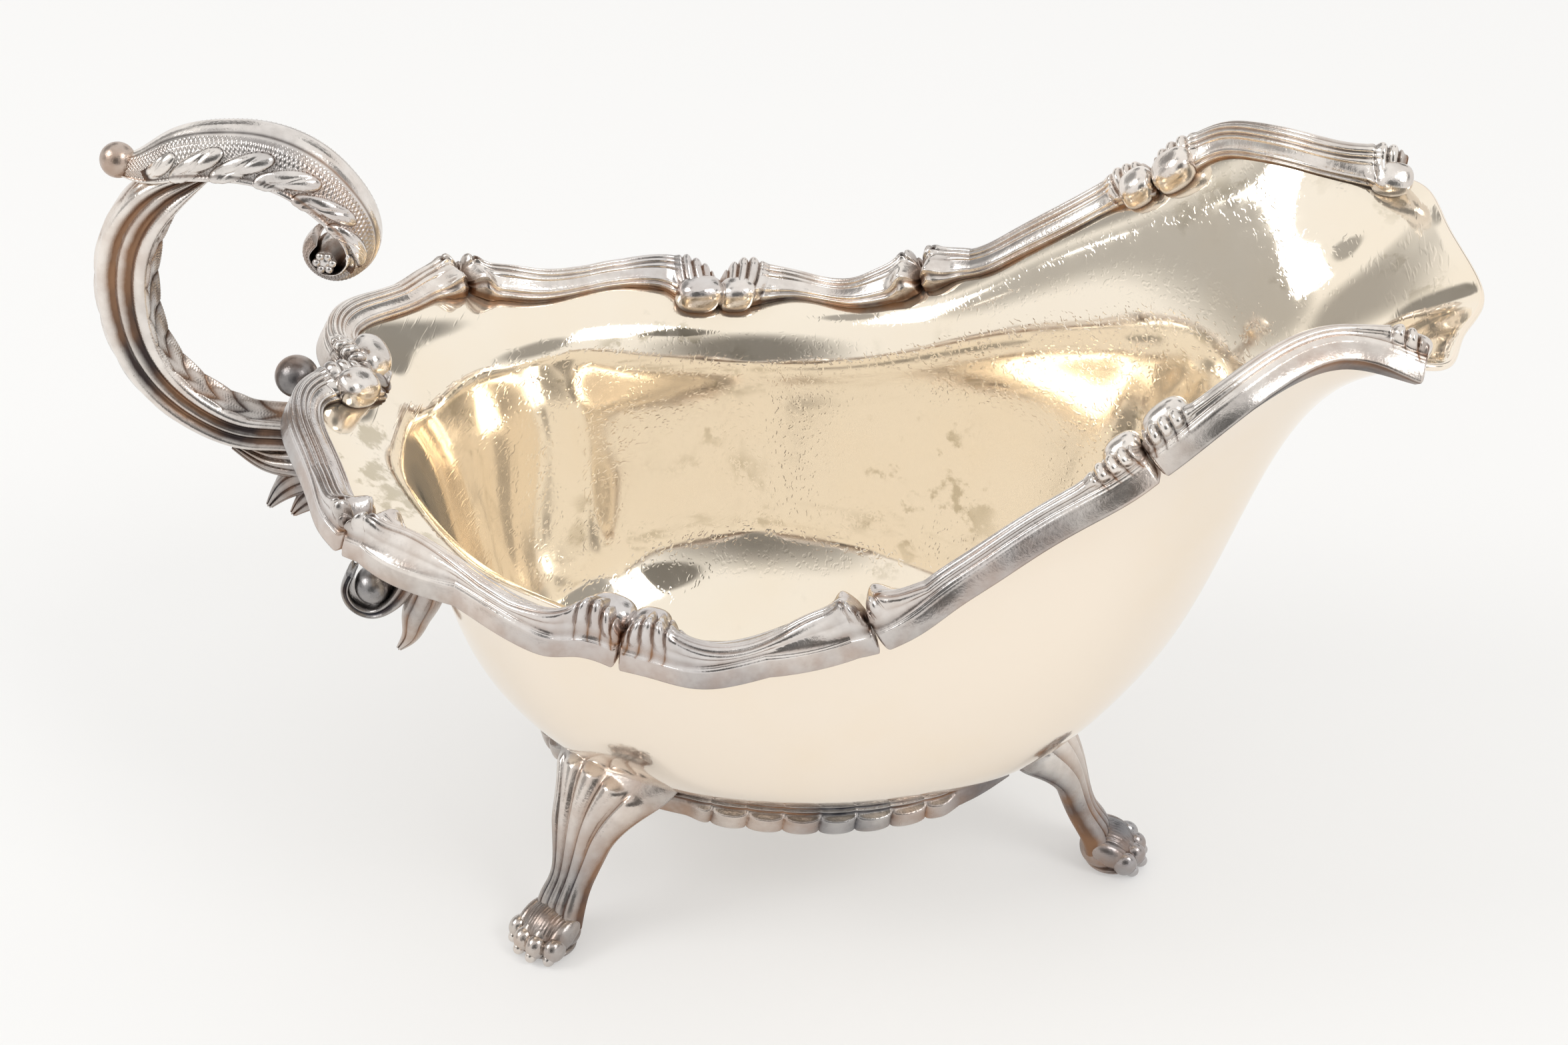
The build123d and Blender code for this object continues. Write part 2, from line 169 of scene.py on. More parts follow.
# ---------------------------------------------------------------- bowl form
# place round the rim (0 handle, 6 spout), then points from the rim edge down to the bottom, mm
SPOKES = [
    (0.00, (-70, 0, 93.5), (-66.5, 0, 90.5), (-62.8, 0, 82), (-61, 0, 70), (-57.5, 0, 54), (-49, 0, 35),
     (-28, 0, 25)),
    (0.45, (-77, 14, 97), (-65, 12, 91), (-61, 11, 82), (-59, 10.5, 70), (-56, 10, 54),
     (-47.5, 8.5, 35), (-27, 5.4, 25)),
    (0.75, (-72, 27, 94.8), (-60.5, 22, 90.5), (-56.8, 20.5, 82), (-55, 20, 70), (-52, 18.6, 54),
     (-44, 15.5, 35), (-25, 9.6, 25)),
    (1.00, (-63, 40.5, 91.5), (-52.5, 32, 89.5), (-49, 29.5, 81), (-47.4, 28.6, 69),
     (-44.5, 26.8, 53.5), (-37.5, 22.2, 35), (-21, 13, 25)),
    (1.50, (-41, 49.5, 88.3), (-38, 43, 86.5), (-35.8, 39.5, 79), (-34.5, 38.2, 67), (-32.2, 35.6, 52),
     (-27, 28.8, 34.5), (-15.5, 16.2, 25)),
    (2.00, (-17, 55.5, 84), (-16.5, 50.5, 83.5), (-15.5, 46.5, 77), (-15, 45, 66), (-14, 41.8, 51.5),
     (-11.5, 33.8, 34.5), (-6, 18, 25)),
    (2.50, (1, 57.5, 84.6), (0, 52, 84.2), (0, 47.5, 77.5), (0, 46, 66), (0, 42.8, 51.5),
     (0.5, 34.8, 34.5), (3, 18.5, 25)),
    (3.00, (21.5, 55, 89.6), (20.5, 50, 88), (19.5, 45.5, 80.5), (19.3, 44, 67), (19, 41, 52),
     (17.5, 33.4, 34.5), (13.5, 18.2, 25)),
    (3.50, (44, 48.5, 104.2), (42.5, 44.5, 101.5), (40.5, 39.5, 91), (39.8, 37.8, 74), (38.8, 34.8, 56),
     (35, 28.4, 36), (25, 16.4, 25)),
    (4.00, (62.5, 44.3, 117), (60.5, 40, 113.5), (57.5, 34, 100), (56, 31.4, 79), (54, 28, 58),
     (48, 22, 37.5), (34, 13, 25)),
    (4.45, (77.5, 39.5, 128.3), (75.5, 34, 123), (71, 27, 106.5), (67.5, 24.2, 83), (64, 20.6, 60),
     (55, 15.5, 38.5), (39, 9, 25)),
    (4.75, (91.5, 31, 131), (88.5, 25, 123.5), (82, 18, 108), (75.5, 15.6, 85), (69.8, 12.8, 61.5),
     (59.2, 9.4, 39.5), (41.5, 5.6, 25)),
    (5.00, (103.5, 31, 129.3), (97.5, 20, 122), (88, 11.5, 110), (80, 9.2, 87), (73.4, 7.2, 63),
     (62, 5, 40), (43, 2.9, 25)),
    (5.50, (110.8, 18, 127.3), (102.5, 10, 120.5), (90.5, 5, 110.5), (81.6, 4.2, 87.5),
     (74.4, 3.2, 63.5), (62.8, 2.2, 40), (43.5, 1.3, 25)),
    (6.00, (115.4, 0, 125), (104.5, 0, 120), (91.5, 0, 110.5), (82, 0, 88), (75, 0, 63.5), (63, 0, 40),
     (43.7, 0, 25)),
]
_p = np.array([r[0] for r in SPOKES])
_r = np.array([r[1:] for r in SPOKES], float)
_pp = np.r_[-_p[3:0:-1], _p, 2 * _p[-1] - _p[-2:-5:-1]]
_rr = np.concatenate([_r[3:0:-1] * [1, -1, 1], _r, _r[-2:-5:-1] * [1, -1, 1]])


def rings(u):
    """Steering points (len(u), 7, 3) for 0 <= u <= 6."""
    return natural(_pp, _rr.reshape(len(_pp), -1), u).reshape(len(u), 7, 3)


N_HALF = 300
uu = np.linspace(0, 6, N_HALF + 1)
half = rings(uu)
full = np.concatenate([half, half[-2:0:-1] * [1, -1, 1]])            # closed loop, 2 * N_HALF rows
for level, width in ((1, 12), (2, 12), (3, 10), (4, 8), (5, 8), (6, 8)):     # fairing along the loop
    k = np.exp(-0.5 * (np.arange(-4 * width, 4 * width + 1) / width) ** 2)
    k /= k.sum()
    pad = np.concatenate([full[-4 * width:, level], full[:, level], full[:4 * width, level]])
    full[:, level] = np.stack([np.convolve(pad[:, i], k, "valid") for i in range(3)], 1)
ctrl = full[:, ::-1]
ctrl = np.concatenate([ctrl[:, :1] * 0.6 + np.array([8, 0, 25]) * 0.4, ctrl], 1)
NV = 90
out_pts = bspline(ctrl, np.linspace(0, 1, NV))
du = np.roll(out_pts, -1, 0) - np.roll(out_pts, 1, 0)
dv = np.gradient(out_pts, axis=1)
nrm = norm(np.cross(du, dv))
nrm[:, 0] = [0, 0, 1]
in_pts = out_pts + nrm * WALL


def loop_index(u):
    return np.asarray(u) / 6 * N_HALF


def edge_frame(u):
    """Origin on the underside of the rim edge, outward, up, along; u (n,) in 0..6."""
    i = np.clip(loop_index(u), 0, N_HALF)
    lo = np.floor(i).astype(int)
    f = (i - lo)[:, None]

    def pick(a):
        return a[lo % len(a)] * (1 - f) + a[(lo + 1) % len(a)] * f
    e = out_pts[:, -1]
    run = norm(pick(np.roll(e, -1, 0) - np.roll(e, 1, 0)))
    up = norm(pick(nrm[:, -1]))
    up = norm(up - run * (up * run).sum(1, keepdims=True))
    return pick(e), np.cross(up, run), up, run


# ---------------------------------------------------------------- materials
def shader(name, base, rough, tint, dark=None, scratches=0.0, stain=None, bump=0.0, metal=1.0, clouds=0.35):
    """Polished plate: metal with fine scratches, clouds of patina, and darker recesses and undersides from
    the mesh's tarnish_and_shade values: patina in the hollows, painted shade on undersides and backs.
    """
    m = bpy.data.materials.new(name)
    m.use_nodes = True
    nt = m.node_tree
    N, L = nt.nodes, nt.links
    N.clear()
    out, b = N.new("ShaderNodeOutputMaterial"), N.new("ShaderNodeBsdfPrincipled")
    L.new(b.outputs[0], out.inputs[0])
    b.inputs["Metallic"].default_value = metal

    def math_node(op, x, y=None, clamp=True):
        n = N.new("ShaderNodeMath")
        n.operation, n.use_clamp = op, clamp
        for i, v in enumerate((x, y)):
            if v is None:
                continue
            if isinstance(v, (int, float)):
                n.inputs[i].default_value = v
            else:
                L.new(v, n.inputs[i])
        return n.outputs[0]

    def mix(f, a, c):
        n = N.new("ShaderNodeMix")
        n.data_type = "RGBA"
        for i, v in ((0, f), (6, a), (7, c)):
            if isinstance(v, (tuple, list)):
                n.inputs[i].default_value = (*v, 1)
            else:
                L.new(v, n.inputs[i])
        return n.outputs[2]

    def ramp(v, lo, hi):
        n = N.new("ShaderNodeMapRange")
        n.interpolation_type = "SMOOTHSTEP"
        n.inputs[1].default_value, n.inputs[2].default_value = lo, hi
        L.new(v, n.inputs[0])
        return n.outputs[0]

    co = N.new("ShaderNodeTexCoord").outputs["Object"]

    def noise(scale, detail=4, rough_=0.55, stretch=None):
        src = co
        if stretch:
            mp = N.new("ShaderNodeMapping")
            mp.inputs["Rotation"].default_value = stretch[0]
            mp.inputs["Scale"].default_value = stretch[1]
            L.new(co, mp.inputs[0])
            src = mp.outputs[0]
        n = N.new("ShaderNodeTexNoise")
        n.inputs["Scale"].default_value, n.inputs["Detail"].default_value = scale, detail
        n.inputs["Roughness"].default_value = rough_
        L.new(src, n.inputs["Vector"])
        return n.outputs[0]

    colour = base
    cloud = ramp(noise(22, 5), 0.42, 0.66)
    colour = mix(math_node("MULTIPLY", cloud, clouds), colour, tint)
    if stain:
        patches = math_node("MULTIPLY", ramp(noise(130, 6, 0.62), 0.54, 0.63), ramp(noise(28, 3), 0.48, 0.6))
        colour = mix(math_node("MULTIPLY", patches, 0.7), colour, stain)
    if dark:
        # patina in the hollows plus painted shade on undersides and backs, read from the tarnish_and_shade
        # attribute
        held = N.new("ShaderNodeAttribute")
        held.attribute_name = "tarnish_and_shade"
        recess = held.outputs["Fac"]
        grain = ramp(noise(240, 4), 0.3, 0.75)
        tarnish_and_shade_mix = math_node("ADD", recess, math_node("MULTIPLY", grain, 0.25))
        warm = ramp(noise(60, 3), 0.35, 0.65)
        colour = mix(tarnish_and_shade_mix, colour, mix(warm, dark, (0.30, 0.17, 0.10)))
    L.new(colour, b.inputs["Base Color"])
    r = math_node("MULTIPLY_ADD", ramp(noise(300, 3), 0.3, 0.7), 0.05, False)
    r.node.inputs[2].default_value = rough
    if dark:
        r = math_node("ADD", r, math_node("MULTIPLY", recess, 0.25))
    L.new(r, b.inputs["Roughness"])
    if scratches:
        total = None
        for rot in ((0.3, 0.2, 0.5), (0.9, 1.1, 2.1), (0.1, 2.3, 1.2)):
            line = ramp(noise(900, 1, 0.5, (rot, (1, 0.02, 1))), 0.62, 0.72)
            total = line if total is None else math_node("MAXIMUM", total, line)
        bp = N.new("ShaderNodeBump")
        bp.inputs["Strength"].default_value, bp.inputs["Distance"].default_value = scratches, 0.0002
        L.new(total, bp.inputs["Height"])
        L.new(bp.outputs[0], b.inputs["Normal"])
    elif bump:
        bp = N.new("ShaderNodeBump")
        bp.inputs["Strength"].default_value, bp.inputs["Distance"].default_value = bump, 0.0002
        L.new(noise(1500, 3, 0.6), bp.inputs["Height"])
        L.new(bp.outputs[0], b.inputs["Normal"])
    return m


plate_out = shader("plate_outside", (0.95, 0.845, 0.72), 0.07, (0.93, 0.78, 0.58), scratches=0.02, metal=0.92)
plate_in = shader("plate_inside", (0.95, 0.86, 0.725), 0.04, (0.93, 0.79, 0.60), scratches=0.05,
                  stain=(0.50, 0.43, 0.30), metal=0.86)
cast = shader("casting", (0.93, 0.87, 0.81), 0.13, (0.60, 0.585, 0.60), (0.05, 0.04, 0.04), bump=0.25,
              clouds=0.6)
# painted shade: a darker, greyer copy of the casting for the pieces under the bowl and the handle: bracket,
# calyx, drop leaf, legs and gadroon strips
cast_shaded = shader("casting_shaded", (0.86, 0.80, 0.74), 0.13, (0.40, 0.41, 0.44), (0.035, 0.035, 0.045),
                   bump=0.3, clouds=0.75)

# ---------------------------------------------------------------- bowl
arc = []
for k in range(1, 6):
    a = math.pi * k / 6
    mid, rad = (out_pts[:, -1] + in_pts[:, -1]) / 2, WALL / 2
    tip = norm(out_pts[:, -1] - out_pts[:, -2])
    arc.append(mid - nrm[:, -1] * rad * math.cos(a) + tip * rad * math.sin(a))
inner_rows = in_pts[:, ::-1]
P = np.concatenate([out_pts, np.stack(arc, 1), inner_rows], 1)
nu, nv = P.shape[:2]
faces = grid_faces(nu, nv, close_u=True, flip=True)
verts = P.reshape(-1, 3)
mats_i = ([0] * (NV - 1) + [0] * 6 + [1] * (NV - 1)) * nu
poles = np.array([[8, 0, 25], [8, 0, 25 + WALL]])
verts = np.concatenate([verts, poles])
for pole, col, up in ((0, 0, False), (1, nv - 1, True)):
    ring = np.arange(nu) * nv + col
    for a, b2 in zip(ring, np.roll(ring, -1)):
        faces.append([int(a), int(b2), nu * nv + pole] if up else [int(b2), int(a), nu * nv + pole])
        mats_i.append(pole)
bowl = mesh_object("bowl", verts, faces, [plate_out, plate_in], mat_index=mats_i)
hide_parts("body_shell")

# ---------------------------------------------------------------- rim castings
CRESTS = [
    [(-70, 0, 97), (-75.5, 4.5, 100), (-78.2, 11, 101), (-77.6, 18, 100), (-73.8, 25.4, 98.4),
     (-69.8, 32.5, 98), (-67, 38, 97.5), (-63.6, 42, 95)],
    [(-63.6, 42, 95), (-55.6, 43.4, 95.6), (-48, 46, 93.6), (-42, 50, 92.3), (-36.5, 54, 91.6),
     (-31, 56.6, 91.6), (-26.5, 57, 91.7), (-22.5, 55, 91.5), (-17, 56.5, 87.5)],
    [(-17, 56.5, 87.5), (-12.4, 57.4, 90), (-7, 59.5, 89.4), (-3, 60, 88.6), (2.7, 58.5, 88.3),
     (8.6, 56, 90), (13.4, 55.2, 92.8), (17, 55.5, 94), (21.5, 56, 93.5)],
    [(21.5, 56, 93.5), (26, 55, 97.6), (32.5, 52.3, 99.5), (38.4, 51.2, 103.5), (44, 50, 108.4),
     (50, 49, 113.5), (55, 48.5, 117.5), (59, 47.5, 119.5), (62.8, 45.8, 120.5)],
    [(62.8, 45.8, 120.5), (67, 45.2, 126.5), (73.5, 43.5, 130.7), (80, 39.5, 132.7), (87, 34.5, 134),
     (94.6, 30.6, 134.6), (99, 30.6, 134.4), (104, 32, 132)],
]
dense_u = np.linspace(0, 6, 1201)
dE, _, _, dRun = edge_frame(dense_u)


def lobe(x):
    """Row of half circles, one per unit."""
    x = x - np.floor(x)
    return np.sqrt(np.clip(1 - (2 * x - 1) ** 2, 0, 1))


def smooth01(x):
    x = np.clip(x, 0, 1)
    return x * x * (3 - 2 * x)


def ellipsoid(centre, ax, nu=28, nv=20):
    """ax: three vectors of the semi-axes."""
    th, ph = np.meshgrid(np.linspace(0, np.pi, nv), np.linspace(0, 2 * np.pi, nu, endpoint=False))
    s = np.stack([np.cos(th), np.sin(th) * np.cos(ph), np.sin(th) * np.sin(ph)], -1)
    return np.asarray(centre) + s @ np.asarray(ax)


KINDS = [("shell", "curl"), ("curl", "shell"), ("shell", "curl"), ("curl", "shell"), ("shell", "block")]


def gauss(x, w):
    return np.exp(-(np.asarray(x) / w) ** 2)


def scroll_piece(k):
    """One casting of the border: reeds along it, and knuckles, a curl or a block at its two ends."""
    c = curve(CRESTS[k], 420)
    s = np.r_[0, np.cumsum(np.linalg.norm(np.diff(c, axis=0), axis=1))]
    total = s[-1]
    wi = np.nonzero((dense_u >= k) & (dense_u <= k + 1))[0]
    gap = c[:, None] - dE[wi][None]
    d = np.abs(np.einsum("cuk,uk->cu", gap, dRun[wi])) + 0.15 * np.linalg.norm(gap, axis=-1)
    u = np.maximum.accumulate(dense_u[wi][np.argmin(d, 1)])
    u = np.convolve(np.pad(u, 12, mode="edge"), np.ones(25) / 25, "valid")
    E, Out, Up, Run = edge_frame(u)
    a_c, n_c, run_c = [((c - E) * v).sum(1) for v in (Out, Up, Run)]
    start = s < total / 2
    end = np.where(start, s, total - s)
    kind = np.where(start, KINDS[k][0], KINDS[k][1])
    shell, curl = (kind != "curl") * 1.0, (kind == "curl") * 1.0
    zone = np.where(kind == "shell", 10.5, np.where(kind == "block", 7.5, 5.0))
    nq = 84
    q = np.linspace(0, 1, nq)
    rows, tarnish_and_shade_rows = [], []
    for i in range(len(c)):
        e = end[i]
        ac, nc = a_c[i], max(n_c[i], WALL + 2.2)
        ao = max(ac + 1.3, 1.4)
        lift = shell[i] * 0.9 * gauss(e - 4.5, 4.5) + curl[i] * 1.9 * gauss(e - 2.8, 2.6)
        wide = shell[i] * 0.9 * gauss(e - 4, 5) + curl[i] * 1.4 * gauss(e - 3.4, 3)
        base = np.array([(ao + 0.1, 0.7), (ao - 0.35, 1.5), (ac + 1.05, nc - 0.75), (ac, nc - 0.05),
                         (ac - 1.1, nc - 0.35), (ac - 2.6, WALL + 0.62 * (nc - WALL)),
                         (ac - 4.0, WALL + 0.36 * (nc - WALL)), (ac - 5.0, WALL + 0.25)])
        base[2:7, 1] += lift
        base[5:, 0] -= wide
        base[5:7, 1] += 0.5 * lift
        b = natural([0, 0.09, 0.22, 0.36, 0.5, 0.68, 0.86, 1], base, q)
        tn = np.gradient(b, axis=0)
        nn = norm(np.stack([tn[:, 1], -tn[:, 0]], 1))
        nn = nn if nn[nq // 3, 1] > 0 else -nn
        fade = smooth01((e - zone[i] + 3.0) / 3.5)
        crest_zone = smooth01((q - 0.15) / 0.03) * smooth01((0.62 - q) / 0.03)
        reeds = lobe((q - REED_FROM) / REED_PITCH)
        reed = (reeds - 0.4) * 0.62 * crest_zone * fade
        foot = 0.4 * gauss(q - 0.93, 0.025) + 0.3 * gauss(q - 0.83, 0.02)
        bead = 0.22 * gauss(q - 0.06, 0.03)
        phase = e / KNUCKLE_PITCH + 0.75 * (q - 0.35) ** 2 * 4
        knuckles = lobe(phase)
        size = smooth01((e - 0.6) / 1.5)
        kn = (knuckles - 0.25) * 1.35 * (1 - fade) * shell[i] * size
        kn = kn * smooth01((q - 0.1) / 0.1) * smooth01((0.97 - q) / 0.12)
        from_eye = np.hypot(e - 3.6, (q - 0.34) * 14)
        eye = -0.9 * gauss(from_eye, 0.55) * curl[i]
        twist = 1.15 * (lobe(e / 2.1 + 1.8 * q) - 0.2) * curl[i] * (1 - fade)
        twist = twist * smooth01((q - 0.12) / 0.1) * smooth01((0.5 - q) / 0.1)
        slope_in = 0.25 * np.sin(np.pi * np.clip((q - 0.52) / 0.4, 0, 1)) * fade
        b = b + nn * (reed + foot + bead + kn + eye + twist + slope_in)[:, None]
        under = np.array([(ac - 4.6, WALL - 0.3), (0.3, WALL - 0.4), (0.3, -2.5), (ao - 0.3, -2.8)])
        band = np.stack([np.full(10, ao), np.linspace(-2.6, 0.35, 10)], 1)
        band[:, 0] += 0.12 * np.sin(np.linspace(0, np.pi, 10))
        sec = np.concatenate([b, under, band])
        mid = np.array([ac - 1.4, (nc + WALL) / 2])
        close = math.sqrt(max(1 - (1 - min(e / 1.1, 1)) ** 2, 0.0))
        if kind[i] == "block":
            close = min(1, 0.86 + e * 0.5)
        sec = mid + (sec - mid) * (0.35 + 0.65 * close)
        rows.append(sec)
        dents = (1 - reeds) * crest_zone * fade + (1 - knuckles) * (1 - fade) * shell[i]
        dents = dents + curl[i] * gauss(from_eye, 0.9)
        t_top = 0.04 + 1.0 * np.clip(dents, 0, 1) ** 1.4 + 0.6 * gauss(q - 0.885, 0.02)
        t_top = t_top + 0.9 * gauss(q - 0.985, 0.035) + 0.35 * gauss(q - 0.1, 0.03) + 0.55 * gauss(e, 1.6)
        # painted shade: the border's underside and the lower edge of its outer band are darker; the hollows
        # between reeds and knuckles carry patina
        tarnish_and_shade_rows.append(np.clip(np.r_[t_top, np.full(4, 0.9), np.linspace(0.4, 0.26, 10)], 0, 1))
    sec = np.stack(rows)
    P = E[:, None] + Out[:, None] * sec[..., :1] + Up[:, None] * sec[..., 1:]
    P = P + Run[:, None] * run_c[:, None, None]
    soup = Soup()
    soup.grid(P, close_v=True, tarnish_and_shade=np.stack(tarnish_and_shade_rows), caps=(True, True))
    for where, sgn, kd in ((0, 1, KINDS[k][0]), (total, -1, KINDS[k][1])):
        if kd == "curl":
            continue
        along, deep, high, off = 3.5, 3.3, 3.2, 3.9                      # half sizes of a head, and its place
        if (k, sgn) in ((1, -1), (4, 1), (0, 1)):
            along, deep, high, off = 4.3, 3.4, 3.4, 4.7
        if kd == "block":
            along, deep, high, off = 3.4, 3.0, 2.7, 2.6
        i = int(np.argmin(np.abs(s - (where + sgn * off))))
        cen = E[i] + Out[i] * (a_c[i] - 3.7) + Up[i] * (WALL + high * 0.62) + Run[i] * run_c[i]
        th, ph = np.meshgrid(np.linspace(0, np.pi, 30), np.linspace(0, 2 * np.pi, 40, endpoint=False))
        box3 = np.stack([np.cos(th), np.sin(th) * np.cos(ph), np.sin(th) * np.sin(ph)], -1)
        box3 = np.sign(box3) * np.abs(box3) ** 0.8                       # squarish ball
        box3[..., 1] += 0.16 * box3[..., 2]
        ax = np.array([Out[i] * deep, Run[i] * along, Up[i] * high])
        shade = 0.05 + 0.9 * smooth01((-box3[..., 2] - 0.25) * 2.2)
        soup.grid(cen + box3 @ ax, close_u=True, tarnish_and_shade=shade, flip=True)
    return soup


for k, name in enumerate(("rim_rear", "rim_quarter", "rim_waist", "rim_rise", "rim_spout")):
    left = scroll_piece(k)
    for side, soup in (("left", left), ("right", left.mirrored())):
        ob = soup.build("border_%s_%s" % (name[4:], side), cast)
        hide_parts("%s_%s" % (name, side))


# ---------------------------------------------------------------- handle, all in the plane y = 0
def planar(points, n):
    """Curve in x and z, its length so far, and its in-plane normal."""
    c = curve(points, n)
    s = np.r_[0, np.cumsum(np.linalg.norm(np.diff(c, axis=0), axis=1))]
    t = norm(np.gradient(c, axis=0))
    return c, s, np.stack([-t[:, 1], t[:, 0]], 1)


def sweep_xz(c, nrm2, sec):
    """sec (n, m, 2): y and in-plane normal offset."""
    P = np.empty(sec.shape[:2] + (3,))
    P[..., 0] = c[:, None, 0] + nrm2[:, None, 0] * sec[..., 1]
    P[..., 1] = sec[..., 0]
    P[..., 2] = c[:, None, 1] + nrm2[:, None, 1] * sec[..., 1]
    return P


def mirrored_section(half_y, half_n):
    """Half outline from the bottom middle to the top middle -> closed loop."""
    y = np.concatenate([half_y, -half_y[..., -2:0:-1]], -1)
    n = np.concatenate([half_n, half_n[..., -2:0:-1]], -1)
    return np.stack([y, n], -1)


def stipple(s, q, pitch=0.62):
    """Staggered dots, 0 to 1."""
    along = np.sin(2 * np.pi * s / pitch + np.pi * (np.floor(q / pitch) % 2))
    return 0.5 + 0.5 * along * np.sin(2 * np.pi * q / pitch / 2) ** 2


def varying(t, xs, ys):
    return natural(xs, np.asarray(ys, float)[:, None], t)[:, 0]


# C-scroll
c, s, nn2 = planar([(-68, 79.5), (-73, 82.4), (-79, 84.8), (-86, 85.7), (-92.5, 85.8), (-99, 88.2),
                    (-104.9, 92.8), (-109.2, 99.5), (-111.0, 108), (-110.4, 117), (-107.4, 125),
                    (-101.5, 131.5), (-94, 135)], 620)
t = s / s[-1]
d = varying(t, [0, 0.2, 0.4, 0.6, 0.85, 0.94, 1], [2.6, 2.9, 3.6, 4.2, 4.0, 2.7, 0.7])
q = np.linspace(0, 1, 64)
prof = natural([0, 0.14, 0.24, 0.3, 0.38, 0.46, 0.54, 0.62, 0.7, 0.8, 0.9, 1],
               [(0, -0.78), (2.4, -0.86), (3.5, -1.0), (4.1, -0.82), (3.75, -0.52), (3.2, -0.3),
                (3.9, 0.02), (3.35, 0.3), (4.3, 0.62), (3.7, 0.96), (2.0, 1.06), (0, 1.1)], q)
Y = np.broadcast_to(prof[:, 0], (len(t), 64)).copy()
Y = Y * varying(t, [0, 0.3, 0.7, 0.93, 1], [0.92, 0.96, 1, 0.95, 0.5])[:, None]
Nn = prof[:, 1] * d[:, None]
S, Q = s[:, None], q[None, :]
inner = smooth01((0.24 - Q) / 0.03)
leafy = lobe(S / 6.5 - 0.11 * Y * 2.2) * 0.55 * inner * smooth01((S - 22) / 8) * smooth01((s[-1] - 6 - S) / 6)
st = stipple(S, Y) * 0.09
Nn = Nn - leafy - st * inner
back = smooth01((Q - 0.82) / 0.05)
Nn = Nn + back * 0.5 * lobe(S / 7.5 + 0.16 * Y)
gro = gauss(Q - 0.46, 0.065) + gauss(Q - 0.63, 0.05)
Y = Y + stipple(S, Nn) * 0.06 * gauss(Q - 0.38, 0.05)
# darker in the grooves, between the leaves, all along the inner face of the C and near its foot at the rim
tarnish_and_shade_map = 0.08 + 1.0 * gro + 0.7 * inner * (1 - lobe(S / 6.5 - 0.11 * Y * 2.2)) + 0.25 * inner
tarnish_and_shade_map = np.clip(tarnish_and_shade_map + back * 0.5 * (1 - lobe(S / 7.5 + 0.16 * Y)) + 0.35 * gauss(S - 12, 12), 0, 1)
sec = mirrored_section(Y, Nn)
tarnish_and_shade_full = np.concatenate([tarnish_and_shade_map, tarnish_and_shade_map[:, -2:0:-1]], 1)
soup = Soup()
soup.grid(sweep_xz(c, nn2, sec), close_v=True, tarnish_and_shade=tarnish_and_shade_full, caps=(True, True))
handle_c = soup.build("handle_c_scroll", cast)
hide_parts("handle_scroll")

# acanthus leaf with ball finial and volute
c, s, nn2 = planar([(-109.5, 135.6), (-105, 136.4), (-98.5, 139.2), (-91, 140.5), (-84, 140.2),
                    (-77, 137.4), (-71.4, 132), (-68.4, 126), (-69.4, 120.8), (-73, 118.2),
                    (-76.8, 119.2), (-78.2, 122.4), (-76.6, 124.8)], 900)
t = s / s[-1]
w = varying(t, [0, 0.06, 0.16, 0.3, 0.6, 0.72, 0.85, 1], [1.6, 3.6, 5.9, 6.6, 6.4, 5.6, 4.6, 3.8])
d = varying(t, [0, 0.06, 0.16, 0.3, 0.55, 0.68, 0.8, 1], [1.3, 2.2, 3.3, 3.9, 3.8, 2.9, 1.7, 0.9])
q = np.linspace(0, 1, 90)
prof = natural([0, 0.15, 0.24, 0.3, 0.36, 0.5, 0.66, 0.8, 0.87, 0.93, 1],
               [(0, -0.62), (0.72, -0.8), (0.94, -1.0), (1.05, -0.88), (0.97, -0.66), (0.93, -0.2),
                (0.78, 0.34), (0.5, 0.78), (0.34, 0.86), (0.2, 1.0), (0, 1.04)], q)
Y, Nn = prof[:, 0] * w[:, None], prof[:, 1] * d[:, None]
S, Q = s[:, None], q[None, :]
face = smooth01((Q - LEAF_FOOT) / 0.03) * smooth01((0.83 - Q) / 0.04)
along = (S - 26 * (Q - LEAF_FOOT) * 0.75) / LEAFLET_PITCH
cell = along - np.floor(along)
tall = (Q - LEAF_FOOT) / 0.36
leaflet = np.sqrt(np.clip(1 - ((cell - 0.5) / 0.46) ** 2 - ((tall - 0.42) / 0.58) ** 2, 0, 1))
leaflet = leaflet * smooth01((t[:, None] - 0.07) / 0.06) * smooth01((0.8 - t[:, None]) / 0.08)
vein = gauss((cell - 0.5), 0.06) * leaflet
field = face * (1 - smooth01(leaflet * 4))
normal_y = np.gradient(Nn, axis=1)
normal_n = -np.gradient(Y, axis=1)
ln = np.hypot(normal_y, normal_n) + 1e-9
normal_y, normal_n = normal_y / ln, normal_n / ln
disp = leaflet * 1.05 - vein * 0.25 - field * stipple(S, Q * 14, 0.72) * 0.2
Y2, N2 = Y + normal_y * disp, Nn + normal_n * disp
# painted shade: the underside of the leaf is darker, and so a little is the volute end; the hollows round the
# leaflets, the stippled ground and the edge grooves carry patina
tarnish_and_shade_map = 0.05 + face * (1.0 * (leaflet > 0) * (1 - smooth01(leaflet * 2.6)) + 0.35 * field)
tarnish_and_shade_map = tarnish_and_shade_map + 0.7 * gauss(Q - 0.86, 0.02) + 0.6 * gauss(Q - 0.345, 0.015)
tarnish_and_shade_map = np.clip(tarnish_and_shade_map + 0.5 * smooth01((0.2 - Q) / 0.05) + 0.1 * smooth01((t[:, None] - 0.75) / 0.1), 0, 1)
sec = mirrored_section(Y2, N2)
soup = Soup()
soup.grid(sweep_xz(c, nn2, sec), close_v=True, tarnish_and_shade=np.concatenate([tarnish_and_shade_map, tarnish_and_shade_map[:, -2:0:-1]], 1),
          caps=(True, True))
soup.grid(ellipsoid((-109.6, 0, 136.4), np.diag([3.05, 3.0, 3.05]), 40, 28), close_u=True, tarnish_and_shade=0.5,
          flip=True)
